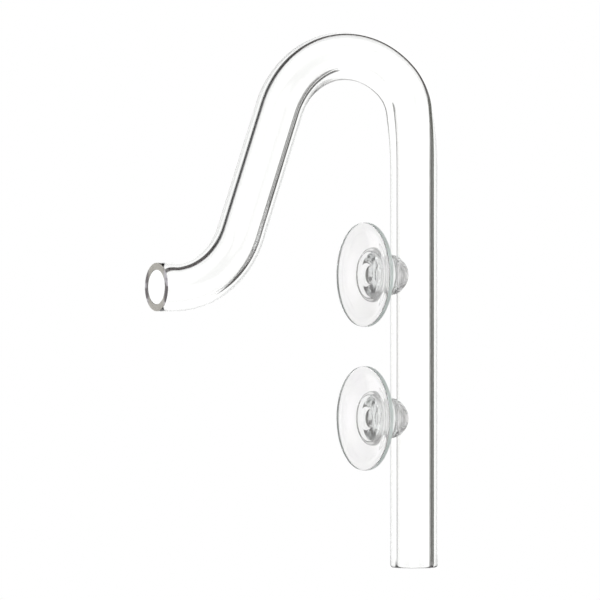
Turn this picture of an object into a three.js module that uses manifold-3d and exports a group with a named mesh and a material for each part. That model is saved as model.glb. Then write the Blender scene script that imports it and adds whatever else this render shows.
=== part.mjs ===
// Bent glass outlet pipe that hangs over an aquarium pane on two soft suction cups.
// Units are millimetres, +Z is up, +X points from the tank outwards.
// The origin lies on the pane's outer face, midway in height between the cups.
// Every pipe bend lies in the plane Y = 0.

import * as THREE from 'three';
import * as BufferGeometryUtils from 'three/addons/utils/BufferGeometryUtils.js';
import Module from 'manifold-3d';

// Glass pipe: section
const PIPE_OUTER_RADIUS = 6.5;
const PIPE_WALL = 1.9;
const PIPE_SIDES = 32;
const PIPE_STEPS = 80;

// Glass pipe: centre line, from the hose end up the outer leg and over to the outlet
const LEG_BELOW_ORIGIN = 60.6;
const LEG_ABOVE_ORIGIN = 47.8;
const EASE_RADIUS = 100;
const EASE_ANGLE = 9.8;
const SHOULDER_RADIUS = 14.5;
const SHOULDER_ANGLE = 35.6;
const CROWN_RADIUS = 22.55;
const SLANT_FROM_VERTICAL = 19.5;
const SLANT_LENGTH = 35.6;
const FOOT_RADIUS = 22.0;
const OUTLET_LENGTH = 5.2;

// Suction cups: place
const CUP_SPACING = 39.2;
const PANE_TO_PIPE = 9.9;
const SADDLE_CLEARANCE = 0.3;

// Suction cups: pane side
const DISC_RADIUS = 14.25;
const DISC_EDGE = 1.1;
const RIM_WIDTH = 1.6;
const HOLLOW_RADIUS = 6.35;
const HOLLOW_DEPTH = 1.2;
const DIMPLE_RADIUS = 3.15;
const DIMPLE_DEPTH = 2.2;

// Suction cups: body behind the disc
const DISC_ROOT = 2.4;
const NECK_RADIUS = 6.35;
const NECK_LENGTH = 0.7;
const COLLAR_RADIUS = 7.5;
const COLLAR_THICKNESS = 1.4;
const WAIST_RADIUS = 5.0;
const WAIST_POSITION = 8.1;
const LIP_RADIUS = 5.35;
const LIP_THICKNESS = 1.3;
const SOCKET_RADIUS = 3.2;
const SOCKET_DEPTH = 0.9;
const CUP_SIDES = 48;
const SADDLE_SIDES = 64;

// Values that follow from the ones above
const PIPE_BORE_RADIUS = PIPE_OUTER_RADIUS - PIPE_WALL;
const LEG_X = PANE_TO_PIPE + PIPE_OUTER_RADIUS;
const CROWN_ANGLE = 180 - SLANT_FROM_VERTICAL - EASE_ANGLE - SHOULDER_ANGLE;
const FOOT_ANGLE = 90 - SLANT_FROM_VERTICAL;

const wasm = await Module();
wasm.setup();

// A closed geometry as a manifold solid, for cutting.
function toSolid(geometry) {
  const bare = geometry.clone();
  bare.deleteAttribute('normal');
  bare.deleteAttribute('uv');
  const merged = BufferGeometryUtils.mergeVertices(bare, 1e-4);
  const mesh = new wasm.Mesh({
    numProp: 3,
    vertProperties: new Float32Array(merged.attributes.position.array),
    triVerts: new Uint32Array(merged.index.array),
  });
  return new wasm.Manifold(mesh);
}

// A manifold solid back as a three.js geometry.
function toGeometry(solid) {
  const mesh = solid.getMesh();
  const geometry = new THREE.BufferGeometry();
  geometry.setAttribute('position', new THREE.BufferAttribute(mesh.vertProperties, 3));
  geometry.setIndex(new THREE.BufferAttribute(mesh.triVerts, 1));
  geometry.computeVertexNormals();
  return geometry;
}

// A chain of straight runs and arcs in the plane Y = 0, followed at constant speed.
// Each run is [length, turn in degrees]; a positive turn bends to the left of travel.
class BentLine extends THREE.Curve {
  constructor(x, z, heading, runs) {
    super();
    this.start = { x, z, heading: THREE.MathUtils.degToRad(heading) };
    this.runs = runs.map(([length, turn]) => [length, THREE.MathUtils.degToRad(turn)]);
    this.total = this.runs.reduce((sum, run) => sum + run[0], 0);
  }

  // Where a run that begins at `from` has got to after `distance`.
  static along(from, run, distance) {
    const turned = (run[1] * distance) / run[0];
    const heading = from.heading + turned;
    if (run[1] === 0) {
      const x = from.x + distance * Math.cos(heading);
      const z = from.z + distance * Math.sin(heading);
      return { x, z, heading };
    }
    const radius = run[0] / run[1];
    const x = from.x + radius * (Math.sin(heading) - Math.sin(from.heading));
    const z = from.z - radius * (Math.cos(heading) - Math.cos(from.heading));
    return { x, z, heading };
  }

  getPoint(t, target = new THREE.Vector3()) {
    let left = t * this.total;
    let at = this.start;
    for (const run of this.runs) {
      const distance = Math.min(left, run[0]);
      at = BentLine.along(at, run, distance);
      left -= distance;
      if (left <= 0) break;
    }
    return target.set(at.x, 0, at.z);
  }
}

// Length of an arc from its radius and its angle in degrees.
function arcLength(radius, angle) {
  return radius * THREE.MathUtils.degToRad(angle);
}

// The pipe's centre line, from the hose end to the outlet.
function pipeCentreLine() {
  return new BentLine(LEG_X, -LEG_BELOW_ORIGIN, 90, [
    [LEG_BELOW_ORIGIN + LEG_ABOVE_ORIGIN, 0],
    [arcLength(EASE_RADIUS, EASE_ANGLE), EASE_ANGLE],
    [arcLength(SHOULDER_RADIUS, SHOULDER_ANGLE), SHOULDER_ANGLE],
    [arcLength(CROWN_RADIUS, CROWN_ANGLE), CROWN_ANGLE],
    [SLANT_LENGTH, 0],
    [arcLength(FOOT_RADIUS, FOOT_ANGLE), -FOOT_ANGLE],
    [OUTLET_LENGTH, 0],
  ]);
}

// A regular polygon drawn as a closed outline.
function ring(path, radius, sides) {
  for (let i = 0; i < sides; i += 1) {
    const angle = (2 * Math.PI * i) / sides;
    const x = radius * Math.cos(angle);
    const y = radius * Math.sin(angle);
    if (i === 0) path.moveTo(x, y);
    else path.lineTo(x, y);
  }
  path.closePath();
  return path;
}

// The open glass tube, bent twice, with a plain cut at each end.
function glassPipe() {
  const section = ring(new THREE.Shape(), PIPE_OUTER_RADIUS, PIPE_SIDES);
  section.holes.push(ring(new THREE.Path(), PIPE_BORE_RADIUS, PIPE_SIDES));
  return new THREE.ExtrudeGeometry(section, {
    steps: PIPE_STEPS,
    bevelEnabled: false,
    extrudePath: pipeCentreLine(),
  });
}

// A turned solid about the X axis, from [distance along X, radius] pairs.
function turned(profile, sides) {
  const points = profile.map(([x, radius]) => new THREE.Vector2(radius, x));
  const geometry = new THREE.LatheGeometry(points, sides);
  geometry.rotateZ(-Math.PI / 2);
  return geometry;
}

// The cup's whole outline before the saddle is cut, rim plane at X = 0.
function cupBlank() {
  const collarStart = DISC_ROOT + NECK_LENGTH;
  const collarEnd = collarStart + COLLAR_THICKNESS;
  const edgeRound = DISC_EDGE * 0.3;
  const collarRound = COLLAR_THICKNESS * 0.3;
  return turned([
    [DIMPLE_DEPTH, 0],
    [DIMPLE_DEPTH, DIMPLE_RADIUS * 0.75],
    [HOLLOW_DEPTH, DIMPLE_RADIUS],
    [HOLLOW_DEPTH, HOLLOW_RADIUS],
    [0, DISC_RADIUS - RIM_WIDTH],
    [0, DISC_RADIUS - edgeRound],
    [edgeRound, DISC_RADIUS],
    [DISC_EDGE - edgeRound, DISC_RADIUS],
    [DISC_EDGE, DISC_RADIUS - edgeRound],
    [DISC_ROOT, NECK_RADIUS],
    [collarStart, NECK_RADIUS],
    [collarStart + collarRound, COLLAR_RADIUS],
    [collarEnd - collarRound, COLLAR_RADIUS],
    [collarEnd, COLLAR_RADIUS - collarRound],
    [WAIST_POSITION, WAIST_RADIUS],
    [PANE_TO_PIPE, LIP_RADIUS],
    [LEG_X, LIP_RADIUS],
    [LEG_X, 0],
  ], CUP_SIDES);
}

// An upright round bar on the leg's axis.
function legBar(radius, height) {
  const bar = new THREE.CylinderGeometry(radius, radius, height, SADDLE_SIDES);
  bar.rotateX(Math.PI / 2);
  bar.translate(LEG_X, 0, 0);
  return bar;
}

// The small hollow in the saddle that grips the glass.
function saddleSocket() {
  const mouth = PANE_TO_PIPE + LIP_THICKNESS;
  return turned([
    [PANE_TO_PIPE - SADDLE_CLEARANCE - SOCKET_DEPTH, 0],
    [PANE_TO_PIPE - SADDLE_CLEARANCE - SOCKET_DEPTH, SOCKET_RADIUS * 0.6],
    [PANE_TO_PIPE - SADDLE_CLEARANCE, SOCKET_RADIUS],
    [mouth, SOCKET_RADIUS],
    [mouth, 0],
  ], CUP_SIDES);
}

// One double-sided cup: a wide disc for the pane and a saddle for the leg.
function suctionCup(height) {
  const blank = toSolid(cupBlank());
  const bar = toSolid(legBar(PIPE_OUTER_RADIUS + SADDLE_CLEARANCE, 4 * LIP_RADIUS));
  const socket = toSolid(saddleSocket());
  const geometry = toGeometry(blank.subtract(bar).subtract(socket));
  geometry.translate(0, 0, height);
  return geometry;
}

// A named mesh with its own material.
function piece(name, geometry, color, opacity) {
  const material = new THREE.MeshStandardMaterial({
    color,
    opacity,
    transparent: true,
    roughness: 0.1,
    metalness: 0,
    name,
  });
  const mesh = new THREE.Mesh(geometry, material);
  mesh.name = name;
  return mesh;
}

const part = new THREE.Group();
part.name = 'aquarium_outlet_pipe';
part.add(piece('glass_pipe', glassPipe(), 0xe9efec, 0.35));
part.add(piece('upper_suction_cup', suctionCup(CUP_SPACING / 2), 0xdfe8e6, 0.5));
part.add(piece('lower_suction_cup', suctionCup(-CUP_SPACING / 2), 0xdfe8e6, 0.5));

export default part;
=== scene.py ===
"""Glass aquarium outlet pipe with two double-sided suction cups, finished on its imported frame."""

import math

import bmesh
import bpy
from bpy.props import FloatProperty, FloatVectorProperty, IntProperty, PointerProperty
from bpy.types import Operator, Panel, PropertyGroup
from mathutils import Matrix, Vector, kdtree


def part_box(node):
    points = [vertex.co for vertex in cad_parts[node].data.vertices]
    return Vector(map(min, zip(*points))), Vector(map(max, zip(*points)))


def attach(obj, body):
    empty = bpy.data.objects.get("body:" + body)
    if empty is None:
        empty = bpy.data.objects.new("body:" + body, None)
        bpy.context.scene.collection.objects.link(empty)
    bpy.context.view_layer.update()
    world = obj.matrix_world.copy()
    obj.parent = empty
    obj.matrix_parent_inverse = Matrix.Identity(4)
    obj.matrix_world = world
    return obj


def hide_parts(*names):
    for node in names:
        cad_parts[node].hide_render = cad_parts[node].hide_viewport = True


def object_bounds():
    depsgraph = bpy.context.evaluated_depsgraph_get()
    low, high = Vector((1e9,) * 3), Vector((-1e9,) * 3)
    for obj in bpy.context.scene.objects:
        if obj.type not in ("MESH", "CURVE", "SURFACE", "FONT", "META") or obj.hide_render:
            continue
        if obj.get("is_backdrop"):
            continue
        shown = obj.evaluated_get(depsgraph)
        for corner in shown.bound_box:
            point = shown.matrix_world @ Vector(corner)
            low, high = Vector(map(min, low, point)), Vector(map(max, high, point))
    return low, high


bl_info = {
    "name": "Glass outlet pipe",
    "version": (1, 0, 0),
    "blender": (4, 5, 0),
    "location": "3D View > Sidebar > Outlet pipe",
    "description": "Builds a bent glass aquarium outlet pipe and its soft suction cups",
    "category": "Object",
}

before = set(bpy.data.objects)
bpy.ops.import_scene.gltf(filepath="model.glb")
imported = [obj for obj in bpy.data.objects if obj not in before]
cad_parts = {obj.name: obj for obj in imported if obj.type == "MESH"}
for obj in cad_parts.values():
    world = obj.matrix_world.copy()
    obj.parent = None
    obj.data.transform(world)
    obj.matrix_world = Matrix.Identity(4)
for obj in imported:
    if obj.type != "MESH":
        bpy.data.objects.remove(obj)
CAD_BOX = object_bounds()
MM = 0.001

# Refractive index and absorption density of the glass and of the soft plastic. Soft PVC
# really bends light more, with an index near 1.53; the lower one keeps the cups light.
GLASS_INDEX = 1.474
GLASS_DENSITY = 9.0
PLASTIC_INDEX = 1.42
PLASTIC_DENSITY = 20.0

# Rough length of a step along the tube's straights, and along its measured axis
STRAIGHT_STEP = 0.006
AXIS_STEP = 0.5 * MM
# Edges that turn by more radians than this are end rims, and faces whose normals reach
# this far along X are the outlet's flat ring
RIM_TURN = 1.0
RING_FACING = 0.9
# The bore stays furthest out over this share of the crown, then comes back
THIN_SHARE = 0.35

# A rounded corner of the cup's section takes up to this share of the run to each side
CORNER_SHARE = 0.45
# Longer edges of the section are divided
LONG_EDGE = 1.2 * MM
# The trimmed edge: this near the disc's rim, and above this share of its thickness
TRIM_REACH = 0.2 * MM
TRIM_START = 0.45

FLOOR_RADIUS = 1.7

UPPER_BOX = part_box("upper_suction_cup")
LOWER_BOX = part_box("lower_suction_cup")
PIPE_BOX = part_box("glass_pipe")
CUP_HEIGHTS = [(box[0].z + box[1].z) / 2 for box in (UPPER_BOX, LOWER_BOX)]


def size(name, description, default):
    """A length property whose default is given in millimetres."""
    return FloatProperty(
        name=name,
        description=description,
        default=default * MM,
        min=0.0,
        precision=5,
        subtype="DISTANCE",
        unit="LENGTH",
    )


def angle(name, description, default):
    """An angle property whose default is given in degrees."""
    return FloatProperty(
        name=name,
        description=description,
        default=math.radians(default),
        subtype="ANGLE",
        unit="ROTATION",
    )


def tint(name, description, default):
    """A linear colour property."""
    return FloatVectorProperty(
        name=name,
        description=description,
        default=default,
        size=3,
        min=0.0,
        max=1.0,
        subtype="COLOR",
    )


# Sizes and colours that a user would change


class PipeSizes(PropertyGroup):
    """Sizes of the bent glass tube."""

    outer_radius: size("Outer radius", "Outside radius of the tube", 6.5)
    wall: size("Wall", "Thickness of the glass", 1.9)
    leg_x: size("Leg position", "From the pane's outer face to the leg's axis", 16.4)
    leg_below: size("Leg below", "Straight leg below the middle of the cups", 60.6)
    leg_above: size("Leg above", "Straight leg above the middle of the cups", 47.8)
    ease_radius: size("Ease radius", "Slow bend at the top of the leg", 100.0)
    ease_angle: angle("Ease angle", "Turn of the slow bend", 9.8)
    shoulder_radius: size("Shoulder radius", "Tight bend after the slow one", 14.5)
    shoulder_angle: angle("Shoulder angle", "Turn of the tight bend", 35.6)
    crown_radius: size("Crown radius", "Bend over the pane's rim", 22.55)
    slant: angle("Slant", "Inner leg's angle from the vertical", 19.5)
    slant_length: size("Slant length", "Straight part of the inner leg", 35.6)
    foot_radius: size("Foot radius", "Bend back to the level outlet", 22.0)
    outlet_length: size("Outlet length", "Level straight end of the tube", 5.2)
    thinning: size("Thinning", "The bore's shift outwards in the bend", 0.85)
    polish: size("Fire polish", "Rounding of the hose end's rim", 0.75)
    cut_edge: size("Cut edge", "Rounding of the outlet's rim", 0.16)
    sides: IntProperty(
        name="Sides", description="Faces around the tube", default=96, min=12
    )
    arc_step: angle("Arc step", "Turn of one step along a bend", 2.4)
    glass_colour: tint("Glass", "Colour of the glass", (0.998, 0.999, 0.997))
    glass_depth: tint("Glass depth", "Colour after a long way", (0.62, 0.66, 0.58))


class CupSizes(PropertyGroup):
    """Sizes of a double-sided suction cup, measured from its rim plane."""

    disc_radius: size("Disc radius", "Radius of the pane-side disc", 14.25)
    disc_edge: size("Disc edge", "Thickness of the disc at its edge", 1.4)
    rim_width: size("Rim width", "Flat ring that seals on the pane", 1.5)
    hollow_radius: size("Hollow radius", "Floor of the disc's hollow", 6.35)
    hollow_depth: size("Hollow depth", "Depth of the disc's hollow", 1.3)
    dimple_radius: size("Dimple radius", "Mark in the middle of the hollow", 3.15)
    dimple_depth: size("Dimple depth", "Depth of the middle mark", 2.3)
    disc_root: size("Disc root", "Back of the disc at the neck", 2.5)
    neck_radius: size("Neck radius", "Radius of the short neck", 6.35)
    neck_length: size("Neck length", "Length of the short neck", 0.7)
    collar_radius: size("Collar radius", "Radius of the stiff collar", 7.45)
    collar_thickness: size("Collar thickness", "Thickness of the collar", 1.4)
    waist_radius: size("Waist radius", "Narrowest part of the body", 4.9)
    waist_x: size("Waist position", "Narrowest part, from the rim plane", 7.6)
    lip_radius: size("Lip radius", "Radius of the lip before it wraps", 5.45)
    lip_thickness: size("Lip thickness", "Thickness of the lip's edge", 1.25)
    socket_radius: size("Socket radius", "Hollow that grips the glass", 3.2)
    socket_depth: size("Socket depth", "Depth of that hollow", 0.8)
    contact: size("Contact", "Gap left between lip and glass", 0.06)
    sides: IntProperty(
        name="Sides", description="Faces around the cup", default=128, min=12
    )
    pvc_colour: tint("Soft plastic", "Colour of the cups", (0.985, 0.985, 0.965))
    pvc_depth: tint("Plastic depth", "Colour after a long way", (0.5, 0.62, 0.58))


class StageSizes(PropertyGroup):
    """Where the camera, floor and light stand."""

    lens: FloatProperty(
        name="Lens",
        description="Focal length",
        default=343.4,
        min=1.0,
        subtype="DISTANCE_CAMERA",
    )
    heading: angle("Heading", "The camera looks this far round from +Y", 30.0)
    pitch: angle("Pitch", "The camera looks up by this much", 0.4504)
    distance: size("Distance", "From the camera to the leg, along its view", 1570.3)
    aside: size("Aside", "The camera's offset to the left of the leg", 31.27)
    height: size("Height", "The camera's height over the middle of the cups", 0.43)
    floor_drop: size("Floor", "The floor lies this far under the pipe", 220.0)
    backdrop: tint("Backdrop", "Colour of the backdrop", (1.0, 1.0, 1.0))


# Dark cards round the white tent: bearing from and to, height from and to, all in
# degrees, then colour
CARDS = (
    (28.0, 69.0, -30.0, 10.0, (0.105, 0.106, 0.094)),
    (26.0, 72.0, -30.0, -6.0, (0.05, 0.045, 0.043)),
    (-78.0, -55.0, -20.0, 8.0, (0.3, 0.3, 0.295)),
)
# How far a card's edges fade to each side, in degrees
CARD_EDGE = 3.0
# Behind, the cards on the right stand on both sides, so that glass has dark edges from
# every side. Bearings count for this much more there, which narrows the cards, and
# their strength drops by this share.
BEHIND_NARROWED = 0.4
BEHIND_WEAKENED = 0.45
# Front turns into back over this cosine to each side
BEHIND_EDGE = 0.05
# A dark ring overhead, as the cosines of its angles from the view, and the heights in
# degrees over which it fades in
RING = (0.12, 0.25, 0.79, 0.86)
RING_FOOT = (5.0, 12.0)
RING_COLOUR = (0.05, 0.042, 0.042)
# Over these bearings to the left it comes to start further out and to be darker
RING_TURN = (28.0, 40.0)
RING_LEFT = (0.71, 0.79)
RING_LEFT_COLOUR = (0.008, 0.008, 0.008)
# What glass and gloss see of the tent is a little brighter than white
TENT_WHITE = (1.12, 1.12, 1.12)


# Shader helpers


class Value:
    """A node socket that carries a number, with arithmetic that adds Math nodes."""

    def __init__(self, graph, socket):
        self.graph = graph
        self.socket = socket

    def _math(self, operation, first, second=None):
        values = {0: first} if second is None else {0: first, 1: second}
        node = self.graph.node("ShaderNodeMath", {"operation": operation}, values)
        return Value(self.graph, node.outputs[0])

    def __add__(self, other):
        return self._math("ADD", self, other)

    def __radd__(self, other):
        return self._math("ADD", other, self)

    def __sub__(self, other):
        return self._math("SUBTRACT", self, other)

    def __rsub__(self, other):
        return self._math("SUBTRACT", other, self)

    def __mul__(self, other):
        return self._math("MULTIPLY", self, other)

    def __rmul__(self, other):
        return self._math("MULTIPLY", other, self)

    def at_most(self, other):
        return self._math("MINIMUM", self, other)

    def magnitude(self):
        return self._math("ABSOLUTE", self)

    def arcsine(self):
        return self._math("ARCSINE", self)

    def turn_from(self, other):
        return self._math("ARCTAN2", self, other)

    def ramp(self, low, high):
        """0 below low, 1 above high and smooth between."""
        node = self.graph.node(
            "ShaderNodeMapRange",
            {"interpolation_type": "SMOOTHSTEP"},
            {"Value": self, "From Min": low, "From Max": high},
        )
        return Value(self.graph, node.outputs[0])

    def band(self, start, full, end, gone):
        """1 between full and end, falling smoothly to 0 at start and gone."""
        return self.ramp(start, full) * (1 - self.ramp(end, gone))


class Graph:
    """A node tree that is emptied and filled."""

    def __init__(self, owner):
        owner.use_nodes = True
        self.tree = owner.node_tree
        self.tree.nodes.clear()

    def node(self, kind, settings=None, values=None):
        """Adds a node, sets its settings, then sets or links its sockets."""
        node = self.tree.nodes.new(kind)
        for key, value in (settings or {}).items():
            setattr(node, key, value)
        for key, value in (values or {}).items():
            self.feed(node.inputs[key], value)
        return node

    def feed(self, socket, value):
        if isinstance(value, Value):
            value = value.socket
        if isinstance(value, bpy.types.NodeSocket):
            self.tree.links.new(value, socket)
        elif isinstance(value, (tuple, list, Vector)) and len(value) == 3:
            is_colour = socket.type == "RGBA"
            socket.default_value = (*value, 1.0) if is_colour else tuple(value)
        else:
            socket.default_value = value

    def noise(self, scale, detail=2.0, stretch=(1, 1, 1)):
        """Noise on the piece's own coordinates, as a number."""
        place = self.node("ShaderNodeTexCoord").outputs["Object"]
        placed = self.node(
            "ShaderNodeMapping", None, {"Vector": place, "Scale": stretch}
        )
        values = {"Vector": placed.outputs[0], "Scale": scale, "Detail": detail}
        return Value(self, self.node("ShaderNodeTexNoise", None, values).outputs[0])

    def along(self, vector, direction):
        """How far a vector reaches along a direction."""
        values = {0: vector, 1: direction}
        node = self.node("ShaderNodeVectorMath", {"operation": "DOT_PRODUCT"}, values)
        return Value(self, node.outputs["Value"])

    def mix(self, share, first, second):
        """A colour between two colours."""
        node = self.node("ShaderNodeMix", {"data_type": "RGBA"})
        self.feed(node.inputs[0], share)
        self.feed(node.inputs[6], first)
        self.feed(node.inputs[7], second)
        return node.outputs[2]

    def bump(self, height, strength, distance):
        values = {"Height": height, "Strength": strength, "Distance": distance}
        return self.node("ShaderNodeBump", None, values).outputs[0]

    def clear_solid(self, surface, depth, density):
        """A clear finish: its surface, and a volume that tints what lies deep."""
        shell = self.node("ShaderNodeBsdfPrincipled", None, surface)
        values = {"Color": depth[:], "Density": density}
        inside = self.node("ShaderNodeVolumeAbsorption", None, values)
        self.output(shell.outputs[0], inside.outputs[0])

    def output(self, surface, volume=None, kind="ShaderNodeOutputMaterial"):
        node = self.node(kind, None, {"Surface": surface})
        if volume is not None:
            self.feed(node.inputs["Volume"], volume)


# Finishes


def drawn_glass(name, sizes):
    """Clear drawn tube: faint draw lines along its length and a slow waviness."""
    material = bpy.data.materials.new(name)
    graph = Graph(material)
    waves = graph.noise(60.0, 1.0)
    lines = graph.noise(420.0, 2.0, (1.0, 1.0, 0.04))
    film = graph.noise(900.0, 4.0)
    graph.clear_solid(
        {
            "Base Color": graph.mix(film, sizes.glass_colour[:], (0.99, 0.993, 0.988)),
            "Roughness": film.ramp(0.45, 0.8) * 0.012,
            "IOR": GLASS_INDEX,
            "Transmission Weight": 1.0,
            "Normal": graph.bump(waves + lines * 0.06, 0.35, 0.00012),
        },
        sizes.glass_depth,
        GLASS_DENSITY,
    )
    return material


def ground_glass(name, sizes):
    """The outlet's cut ring: the same glass, ground to a fine satin, with painted shade and painted
    highlights in dark and bright stripes over its sides.
    """
    material = bpy.data.materials.new(name)
    graph = Graph(material)
    grit = graph.noise(5200.0, 3.0)
    cloud = graph.noise(420.0, 2.0)
    # Painted shade and painted highlights: out to each side in Y the ring gets near-black and pale
    # lavender stripes, standing in for dark edges and glints of the glass; the middle keeps a cream
    # cloud.
    painted_stripe = graph.noise(330.0, 2.0, (1.0, 0.35, 1.0)).ramp(0.44, 0.56)
    place = graph.node("ShaderNodeTexCoord").outputs["Object"]
    painted_side = graph.along(place, (0.0, 1.0, 0.0)).magnitude().ramp(0.0034, 0.0052)
    pale = graph.mix(cloud, (0.7, 0.675, 0.6), (0.82, 0.79, 0.73))
    # Colours of those stripes: near-black painted shade and pale lavender painted highlight.
    dark = graph.mix(painted_stripe, (0.2, 0.175, 0.185), (0.93, 0.9, 0.96))
    graph.clear_solid(
        {
            "Base Color": graph.mix(painted_side, pale, dark),
            "Roughness": 0.26 + grit * 0.14,
            "IOR": GLASS_INDEX,
            "Transmission Weight": 0.45,
            "Normal": graph.bump(grit, 0.25, 0.00003),
        },
        sizes.glass_depth,
        GLASS_DENSITY,
    )
    return material


def soft_pvc(name, sizes):
    """Clear soft plastic: a slightly oily gloss with faint mould flow."""
    material = bpy.data.materials.new(name)
    graph = Graph(material)
    flow = graph.noise(150.0, 3.0, (0.5, 1.0, 1.0))
    skin = graph.noise(1400.0, 3.0)
    graph.clear_solid(
        {
            "Base Color": graph.mix(flow, sizes.pvc_colour[:], (0.97, 0.95, 0.975)),
            "Roughness": 0.012 + skin.ramp(0.4, 0.8) * 0.03,
            "IOR": PLASTIC_INDEX,
            "Transmission Weight": 0.88,
            "Normal": graph.bump(flow + skin * 0.04, 0.3, 0.0002),
        },
        sizes.pvc_depth,
        PLASTIC_DENSITY,
    )
    return material


def cut_pvc(name, sizes):
    """The disc's trimmed edge: the same plastic, satin and tinted by its depth."""
    material = bpy.data.materials.new(name)
    graph = Graph(material)
    grain = graph.noise(2600.0, 3.0)
    cloud = graph.noise(260.0, 2.0)
    graph.clear_solid(
        {
            "Base Color": graph.mix(cloud, (0.68, 0.79, 0.75), (0.9, 0.94, 0.92)),
            "Roughness": 0.3 + grain * 0.2,
            "IOR": PLASTIC_INDEX,
            "Transmission Weight": 0.5,
            "Normal": graph.bump(grain, 0.2, 0.00003),
        },
        sizes.pvc_depth,
        PLASTIC_DENSITY,
    )
    return material


def pale_floor(name):
    """A matt white floor that the camera sees as plain white."""
    material = bpy.data.materials.new(name)
    graph = Graph(material)
    path = graph.node("ShaderNodeLightPath")
    seen = Value(graph, path.outputs["Is Camera Ray"])
    speckle = graph.noise(30.0, 3.0)
    matt = graph.node(
        "ShaderNodeBsdfDiffuse",
        None,
        {"Color": graph.mix(speckle, (0.8, 0.8, 0.8), (0.83, 0.83, 0.83))},
    )
    lift = graph.node("ShaderNodeEmission", None, {"Strength": seen * 0.42})
    parts = {0: matt.outputs[0], 1: lift.outputs[0]}
    both = graph.node("ShaderNodeAddShader", None, parts)
    graph.output(both.outputs[0])
    return material


def studio_world(stage):
    """A white tent with dark cards to its sides and over it, which draw glass edges."""
    world = bpy.data.worlds.new("white_tent")
    bpy.context.scene.world = world
    graph = Graph(world)
    place = graph.node("ShaderNodeTexCoord").outputs["Generated"]
    turn = stage.heading
    aside = (math.cos(turn), -math.sin(turn), 0.0)
    ahead = (math.sin(turn), math.cos(turn), 0.0)
    across = graph.along(place, aside)
    away = graph.along(place, ahead)
    behind = (0 - away).ramp(-BEHIND_EDGE, BEHIND_EDGE)
    across = across + behind * (across.magnitude() - across)
    away = away.magnitude()
    bearing = across.turn_from(away) * (1 + behind * BEHIND_NARROWED)
    rise = graph.along(place, (0.0, 0.0, 1.0)).arcsine()
    path = graph.node("ShaderNodeLightPath")
    seen = Value(graph, path.outputs["Is Transmission Ray"])
    seen = (seen + Value(graph, path.outputs["Is Glossy Ray"])).at_most(1.0)
    colour = graph.mix(seen, stage.backdrop[:], TENT_WHITE)
    soft = math.radians(CARD_EDGE)
    for near, far, low, high, card in CARDS:
        near, far, low, high = (math.radians(v) for v in (near, far, low, high))
        shade = bearing.band(near - soft, near + soft, far - soft, far + soft)
        shade = shade * rise.band(low - soft, low + soft, high - soft, high + soft)
        shade = shade * (1 - behind * BEHIND_WEAKENED)
        colour = graph.mix(shade * seen, colour, card)
    to_left = (0 - bearing).ramp(*map(math.radians, RING_TURN))
    ring = away.band(*RING) * rise.ramp(*map(math.radians, RING_FOOT))
    ring = ring * (1 - to_left * away.ramp(*RING_LEFT))
    ring_colour = graph.mix(to_left, RING_COLOUR, RING_LEFT_COLOUR)
    colour = graph.mix(ring * seen, colour, ring_colour)
    light = graph.node("ShaderNodeBackground", None, {"Color": colour, "Strength": 1.0})
    graph.output(light.outputs[0], kind="ShaderNodeOutputWorld")


# Mesh helpers


def new_piece(name, bm, materials):
    """Turns a bmesh into an object at the origin, with smooth faces."""
    mesh = bpy.data.meshes.new(name)
    bm.to_mesh(mesh)
    bm.free()
    for material in materials:
        mesh.materials.append(material)
    mesh.polygons.foreach_set("use_smooth", [True] * len(mesh.polygons))
    piece = bpy.data.objects.new(name, mesh)
    bpy.context.scene.collection.objects.link(piece)
    return piece


def of_type(geometry, kind):
    return [item for item in geometry if isinstance(item, kind)]


class Travel:
    """Where a tube's end ring has got to, in the plane Y = 0."""

    def __init__(self, x, z, heading):
        self.place = Vector((x, 0.0, z))
        self.heading = heading

    @property
    def forward(self):
        return Vector((math.cos(self.heading), 0.0, math.sin(self.heading)))

    @property
    def left(self):
        return Vector((-math.sin(self.heading), 0.0, math.cos(self.heading)))


def pipe_runs(sizes):
    """The tube's straight runs and bends, as (length or radius, turn) pairs."""
    crown = math.pi - sizes.slant - sizes.ease_angle - sizes.shoulder_angle
    return [
        (sizes.leg_below + sizes.leg_above, 0.0),
        (sizes.ease_radius, sizes.ease_angle),
        (sizes.shoulder_radius, sizes.shoulder_angle),
        (sizes.crown_radius, crown),
        (sizes.slant_length, 0.0),
        (sizes.foot_radius, sizes.slant - math.pi / 2),
        (sizes.outlet_length, 0.0),
    ]


def way_along(length, turn):
    """The way along one run, whose first number is a bend's radius."""
    return length if turn == 0.0 else length * abs(turn)


def grow(bm, ring):
    """Extrudes a ring of edges in place; returns the new vertices and the new ring."""
    grown = bmesh.ops.extrude_edge_only(bm, edges=ring)["geom"]
    verts = of_type(grown, bmesh.types.BMVert)
    fresh = set(verts)
    return verts, [e for e in of_type(grown, bmesh.types.BMEdge) if set(e.verts) <= fresh]


def go_straight(bm, ring, travel, length, steps):
    """Extrudes a ring of edges along the heading."""
    step = travel.forward * (length / steps)
    for _ in range(steps):
        verts, ring = grow(bm, ring)
        bmesh.ops.translate(bm, verts=verts, vec=step)
        travel.place = travel.place + step
    return ring


def go_round(bm, ring, travel, radius, turn, step):
    """Spins a ring of edges round a bend; a positive turn goes left."""
    side = math.copysign(1.0, turn)
    centre = travel.place + travel.left * (radius * side)
    spun = bmesh.ops.spin(
        bm,
        geom=ring,
        cent=centre,
        axis=(0.0, -1.0, 0.0),
        angle=turn,
        steps=max(2, round(abs(turn) / step)),
        use_duplicate=False,
    )
    travel.heading += turn
    travel.place = centre - travel.left * (radius * side)
    return of_type(spun["geom_last"], bmesh.types.BMEdge)


def follow(bm, ring, travel, runs, step):
    """Carries a ring of edges along every run."""
    for length, turn in runs:
        if turn == 0.0:
            steps = max(2, round(length / STRAIGHT_STEP))
            ring = go_straight(bm, ring, travel, length, steps)
        else:
            ring = go_round(bm, ring, travel, length, turn, step)
    return ring


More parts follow.
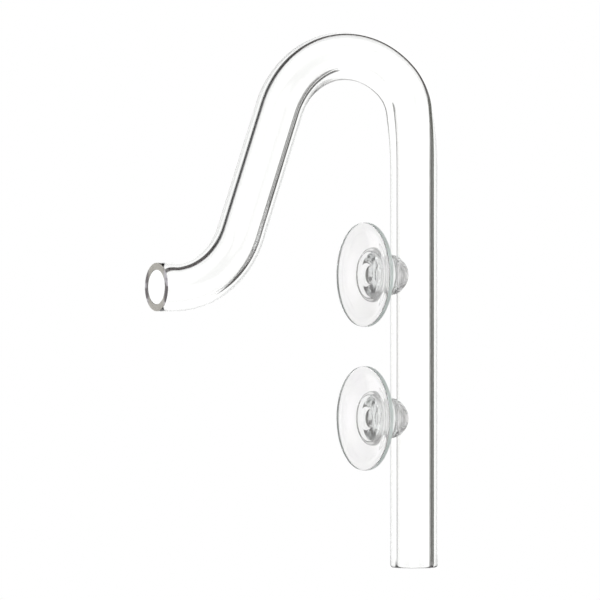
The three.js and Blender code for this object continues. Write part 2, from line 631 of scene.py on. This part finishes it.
def resize_ring(bm, ring, travel, factor):
    """Extrudes a ring within its own plane, to make the flat cut of an end."""
    verts, ring = grow(bm, ring)
    about = Matrix.Translation(-travel.place)
    bmesh.ops.scale(bm, verts=verts, vec=(factor,) * 3, space=about)
    return ring


def centre_line(sizes):
    """Points on the tube's axis with the way travelled and the way to the left."""
    travel = Travel(sizes.leg_x, -sizes.leg_below, math.pi / 2)
    way = 0.0
    for length, turn in pipe_runs(sizes):
        span = way_along(length, turn)
        count = max(1, round(span / AXIS_STEP))
        for _ in range(count):
            travel.heading += turn / count / 2
            travel.place += travel.forward * (span / count)
            travel.heading += turn / count / 2
            way += span / count
            yield way, travel.place.copy(), travel.left


def smooth_step(value, low, high):
    """0 up to low, 1 from high and smooth between."""
    share = min(1.0, max(0.0, (value - low) / (high - low)))
    return share * share * (3 - 2 * share)


def thin_outside(bm, sizes):
    """Moves the bore outwards in the bend over the pane, where bending thins the wall."""
    ends = [0.0]
    for length, turn in pipe_runs(sizes):
        ends.append(ends[-1] + way_along(length, turn))
    leg_end, crown_start, crown_end = ends[1], ends[3], ends[4]
    back_from = crown_start + THIN_SHARE * (crown_end - crown_start)
    points = list(centre_line(sizes))
    tree = kdtree.KDTree(len(points))
    for i, (_, place, _) in enumerate(points):
        tree.insert(place, i)
    tree.balance()
    for vert in bm.verts:
        _, i, off = tree.find(vert.co)
        if off > sizes.outer_radius - sizes.wall / 2:
            continue
        way, _, left = points[i]
        rise = smooth_step(way, leg_end, crown_start)
        fall = smooth_step(way, back_from, crown_end)
        vert.co -= left * (sizes.thinning * rise * (1 - fall))


def build_pipe(sizes, materials):
    """The outer skin out to the outlet, then the bore all the way back."""
    bm = bmesh.new()
    travel = Travel(sizes.leg_x, -sizes.leg_below, math.pi / 2)
    place = Matrix.Translation(travel.place)
    bmesh.ops.create_circle(
        bm, cap_ends=False, segments=sizes.sides, radius=sizes.outer_radius, matrix=place
    )
    ring = bm.edges[:]
    runs = pipe_runs(sizes)
    ring = follow(bm, ring, travel, runs, sizes.arc_step)
    inner = (sizes.outer_radius - sizes.wall) / sizes.outer_radius
    ring = resize_ring(bm, ring, travel, inner)
    outlet = travel.place.copy()
    travel.heading += math.pi
    back = [(length, -turn) for length, turn in reversed(runs)]
    ring = follow(bm, ring, travel, back, sizes.arc_step)
    resize_ring(bm, ring, travel, 1 / inner)
    bmesh.ops.remove_doubles(bm, verts=bm.verts, dist=0.02 * MM)
    bmesh.ops.recalc_face_normals(bm, faces=bm.faces)
    thin_outside(bm, sizes)

    rims = [edge for edge in bm.edges if edge.calc_face_angle(0.0) > RIM_TURN]
    near = 2 * sizes.outer_radius
    at_outlet = [e for e in rims if (e.verts[0].co - outlet).length < near]
    at_hose = [e for e in rims if e not in at_outlet]
    for face in {f for e in at_outlet for f in e.link_faces}:
        if abs(face.normal.x) > RING_FACING:
            face.material_index = 1
    for edges, offset, segments in (
        (at_hose, sizes.polish, 6),
        (at_outlet, sizes.cut_edge, 3),
    ):
        bmesh.ops.bevel(
            bm,
            geom=edges,
            offset=offset,
            offset_type="OFFSET",
            affect="EDGES",
            segments=segments,
            profile=0.5,
            material=-1,
            clamp_overlap=True,
        )
    return new_piece("bent_glass_tube", bm, materials)


def saddle_front(sizes, pipe):
    """The X at which the lip meets the leg's near side."""
    return PIPE_BOX[1].x - 2 * pipe.outer_radius - sizes.contact


def cup_profile(sizes, pipe):
    """Half of a cup's section as (x, radius, corner rounding), from pole to pole."""
    soft = 0.3 * MM
    edge = sizes.disc_radius
    dimple_floor = sizes.dimple_radius * 0.8
    slope_x = sizes.hollow_depth * 0.5
    slope_radius = (sizes.hollow_radius + edge) * 0.5
    back_x = sizes.disc_edge * 1.14
    back_radius = edge * 0.74
    collar_start = sizes.disc_root + sizes.neck_length
    collar_end = collar_start + sizes.collar_thickness
    body_start = collar_end + 0.4 * MM
    body_radius = sizes.neck_radius * 0.95
    saddle = saddle_front(sizes, pipe)
    lip_back = saddle - sizes.lip_thickness
    lip_root = sizes.lip_radius * 0.93
    socket_floor = saddle - sizes.socket_depth
    return [
        # Pane side: middle mark, hollow and sealing ring
        (sizes.dimple_depth, 0.0, 0.0),
        (sizes.dimple_depth, dimple_floor, soft),
        (sizes.hollow_depth, sizes.dimple_radius, soft),
        (sizes.hollow_depth, sizes.hollow_radius, 2 * soft),
        (slope_x, slope_radius, 4 * soft),
        (0.0, edge - sizes.rim_width, 3 * soft),
        # Edge and back of the disc
        (0.0, edge, 0.8 * soft),
        (sizes.disc_edge, edge, 0.8 * soft),
        (back_x, back_radius, 3 * soft),
        # Neck and collar
        (sizes.disc_root, sizes.neck_radius, soft),
        (collar_start, sizes.neck_radius, 0.6 * soft),
        (collar_start, sizes.collar_radius, 1.2 * soft),
        (collar_end, sizes.collar_radius, 1.2 * soft),
        # Body, lip and the hollow that grips the glass
        (body_start, body_radius, 2 * soft),
        (sizes.waist_x, sizes.waist_radius, 3 * soft),
        (lip_back, lip_root, 1.5 * soft),
        (lip_back + 0.35 * MM, sizes.lip_radius, 1.2 * soft),
        (saddle, sizes.lip_radius, 1.4 * soft),
        (saddle, sizes.socket_radius, soft),
        (socket_floor, sizes.socket_radius * 0.6, soft),
        (socket_floor, 0.0, 0.0),
    ]


def round_corner(before, corner, after, reach, steps=5):
    """Points of a smooth corner between two straight runs."""
    if reach == 0.0:
        return [corner]
    ends = []
    for other in (before, after):
        run = other - corner
        cut = min(reach, run.length * CORNER_SHARE)
        ends.append(corner + run.normalized() * cut)
    start, end = ends
    points = []
    for i in range(steps + 1):
        t = i / steps
        points.append(start * (1 - t) ** 2 + corner * 2 * t * (1 - t) + end * t**2)
    return points


def wrap_lip(bm, sizes, pipe):
    """Curls the body's far end round the leg, fully at the lip and not at the waist."""
    bore = pipe.outer_radius + sizes.contact
    saddle = saddle_front(sizes, pipe)
    for vert in bm.verts:
        x, y = vert.co.x, vert.co.y
        share = smooth_step(x, sizes.waist_x, saddle - sizes.lip_thickness)
        if share == 0.0:
            continue
        radius = bore + (saddle - x)
        bend = y / radius
        wrapped_x = pipe.leg_x - radius * math.cos(bend)
        wrapped_y = radius * math.sin(bend)
        vert.co.x = x + (wrapped_x - x) * share
        vert.co.y = y + (wrapped_y - y) * share


def build_cup(name, height, sizes, pipe, materials):
    """Spins the section, then curls the small end into a saddle."""
    bm = bmesh.new()
    profile = cup_profile(sizes, pipe)
    corners = [Vector((x, 0.0, radius)) for x, radius, _ in profile]
    points = [corners[0]]
    for i in range(1, len(corners) - 1):
        points += round_corner(corners[i - 1], corners[i], corners[i + 1], profile[i][2])
    points.append(corners[-1])
    verts = [bm.verts.new(point) for point in points]
    wire = [bm.edges.new(pair) for pair in zip(verts, verts[1:])]
    long_edges = [edge for edge in wire if edge.calc_length() > LONG_EDGE]
    bmesh.ops.subdivide_edges(bm, edges=long_edges, cuts=3)
    bmesh.ops.spin(
        bm,
        geom=bm.verts[:] + bm.edges[:],
        cent=(0.0, 0.0, 0.0),
        axis=(1.0, 0.0, 0.0),
        angle=2 * math.pi,
        steps=sizes.sides,
        use_merge=True,
        use_duplicate=False,
    )
    bmesh.ops.remove_doubles(bm, verts=bm.verts, dist=1e-6)
    for face in bm.faces:
        place = face.calc_center_median()
        outside = math.hypot(place.y, place.z) > sizes.disc_radius - TRIM_REACH
        face.material_index = int(outside and place.x > TRIM_START * sizes.disc_edge)
    wrap_lip(bm, sizes, pipe)
    bmesh.ops.recalc_face_normals(bm, faces=bm.faces)
    bmesh.ops.translate(bm, verts=bm.verts, vec=(0.0, 0.0, height))
    return new_piece(name, bm, materials)


# Operators


class OUTLET_OT_glass_pipe(Operator):
    """Build the bent glass tube in place of its plain solid."""

    bl_idname = "outlet.glass_pipe"
    bl_label = "Glass pipe"

    def execute(self, context):
        sizes = context.scene.pipe_sizes
        finishes = [drawn_glass("drawn_glass", sizes), ground_glass("ground_glass", sizes)]
        piece = build_pipe(sizes, finishes)
        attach(piece, "pipe")
        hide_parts("glass_pipe")
        return {"FINISHED"}


class OUTLET_OT_suction_cups(Operator):
    """Build the two soft cups in place of their plain solids."""

    bl_idname = "outlet.suction_cups"
    bl_label = "Suction cups"

    def execute(self, context):
        scene = context.scene
        sizes = scene.cup_sizes
        finishes = [soft_pvc("soft_clear_pvc", sizes), cut_pvc("cut_clear_pvc", sizes)]
        pipe = scene.pipe_sizes
        cups = (("upper", "upper_cup"), ("lower", "lower_cup"))
        for (name, body), height in zip(cups, CUP_HEIGHTS):
            piece = build_cup(name + "_cup_moulding", height, sizes, pipe, finishes)
            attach(piece, body)
            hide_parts(name + "_suction_cup")
        return {"FINISHED"}


class OUTLET_OT_stage(Operator):
    """Set up the camera, the pale floor and the white tent."""

    bl_idname = "outlet.stage"
    bl_label = "Stage"

    def execute(self, context):
        scene = context.scene
        stage = scene.stage_sizes
        forward = Vector((math.sin(stage.heading), math.cos(stage.heading), 0.0))
        right = Vector((math.cos(stage.heading), -math.sin(stage.heading), 0.0))
        camera = bpy.data.objects.new("camera", bpy.data.cameras.new("camera"))
        camera.data.lens = stage.lens
        camera.data.clip_start = 0.05
        camera.data.clip_end = 60.0
        camera.location = Vector((scene.pipe_sizes.leg_x, 0.0, stage.height))
        camera.location -= forward * stage.distance + right * stage.aside
        camera.rotation_euler = (math.pi / 2 + stage.pitch, 0.0, -stage.heading)
        scene.collection.objects.link(camera)
        scene.camera = camera

        bm = bmesh.new()
        place = Matrix.Translation((0.0, 0.0, CAD_BOX[0].z - stage.floor_drop))
        bmesh.ops.create_circle(
            bm, cap_ends=True, segments=96, radius=FLOOR_RADIUS, matrix=place
        )
        floor = new_piece("pale_floor", bm, [pale_floor("pale_floor")])
        floor.visible_transmission = False
        floor.visible_glossy = False
        floor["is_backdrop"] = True

        studio_world(stage)
        softbox = bpy.data.lights.new("softbox", "AREA")
        softbox.shape = "DISK"
        softbox.size = 0.9
        softbox.energy = 1.6
        lamp = bpy.data.objects.new("softbox", softbox)
        lamp.location = (-0.7, -0.6, 1.3)
        lamp.rotation_euler = (-lamp.location).to_track_quat("-Z", "Y").to_euler()
        scene.collection.objects.link(lamp)
        scene.view_settings.view_transform = "Standard"
        return {"FINISHED"}


class OUTLET_PT_panel(Panel):
    """Lists the pieces and their sizes."""

    bl_idname = "OUTLET_PT_panel"
    bl_label = "Outlet pipe"
    bl_space_type = "VIEW_3D"
    bl_region_type = "UI"
    bl_category = "Outlet pipe"

    def draw(self, context):
        for operator, sizes in (
            (OUTLET_OT_glass_pipe, context.scene.pipe_sizes),
            (OUTLET_OT_suction_cups, context.scene.cup_sizes),
            (OUTLET_OT_stage, context.scene.stage_sizes),
        ):
            box = self.layout.box()
            box.operator(operator.bl_idname)
            for key in sizes.__annotations__:
                box.prop(sizes, key)


CLASSES = (
    PipeSizes,
    CupSizes,
    StageSizes,
    OUTLET_OT_glass_pipe,
    OUTLET_OT_suction_cups,
    OUTLET_OT_stage,
    OUTLET_PT_panel,
)


def register():
    for cls in CLASSES:
        bpy.utils.register_class(cls)
    bpy.types.Scene.pipe_sizes = PointerProperty(type=PipeSizes)
    bpy.types.Scene.cup_sizes = PointerProperty(type=CupSizes)
    bpy.types.Scene.stage_sizes = PointerProperty(type=StageSizes)


def unregister():
    del bpy.types.Scene.stage_sizes
    del bpy.types.Scene.cup_sizes
    del bpy.types.Scene.pipe_sizes
    for cls in reversed(CLASSES):
        bpy.utils.unregister_class(cls)


def main():
    register()
    bpy.ops.outlet.glass_pipe()
    bpy.ops.outlet.suction_cups()
    bpy.ops.outlet.stage()
    boxes = {"cad": CAD_BOX, "visual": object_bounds()}
    {key: [list(low), list(high)] for key, (low, high) in boxes.items()}


if __name__ == "__main__":
    main()
